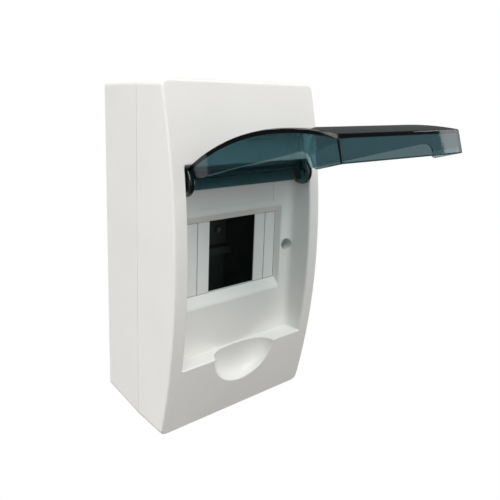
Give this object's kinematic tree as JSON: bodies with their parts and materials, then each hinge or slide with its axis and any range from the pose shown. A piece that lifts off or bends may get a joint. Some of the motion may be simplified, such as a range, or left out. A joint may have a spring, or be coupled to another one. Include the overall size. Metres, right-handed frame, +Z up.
{
  "type": "surface-mounted modular combiner box",
  "caption": "White plastic wall box for DIN-rail devices with a bowed front, a tinted flip-up door, a window with blanking strips and a finger scoop.",
  "frame": {"origin": "the point of the wall face straight behind the centre of the window", "axes": "+X along the width, +Y into the wall, +Z up along the height"},
  "size_m": [0.1146, 0.183, 0.2109],
  "materials": {
    "shell": "satin moulded",
    "blank": "satin moulded",
    "tint": "polished, transparent",
    "black": "moulded",
    "steel": "zinc plated",
    "brass": "machined",
    "blue": "moulded",
    "green": "moulded"
  },
  "bodies": {
    "enclosure": {"base_shell": "shell", "cover_shell": "shell", "blank_1": "blank", "blank_2": "blank", "blank_3": "blank", "blank_4": "blank", "device_bay": "black", "bay_screw_1": "steel", "bay_screw_2": "steel", "cover_screw_left": "steel", "cover_screw_right": "steel", "neutral_holder": "blue", "neutral_bar": "brass", "neutral_screw_1": "steel", "neutral_screw_2": "steel", "neutral_screw_3": "steel", "neutral_screw_4": "steel", "neutral_screw_5": "steel", "earth_holder": "green", "earth_bar": "brass", "earth_screw_1": "steel", "earth_screw_2": "steel", "earth_screw_3": "steel", "earth_screw_4": "steel", "earth_screw_5": "steel"},
    "door": {"door": "tint"}
  },
  "joints": [
    {"name": "door_hinge", "type": "hinge", "parent": "enclosure", "child": "door", "pos_m": [0, -0.0755, 0.051], "axis": [1, 0, 0], "range_deg": [-3, 106.5]}
  ]
}
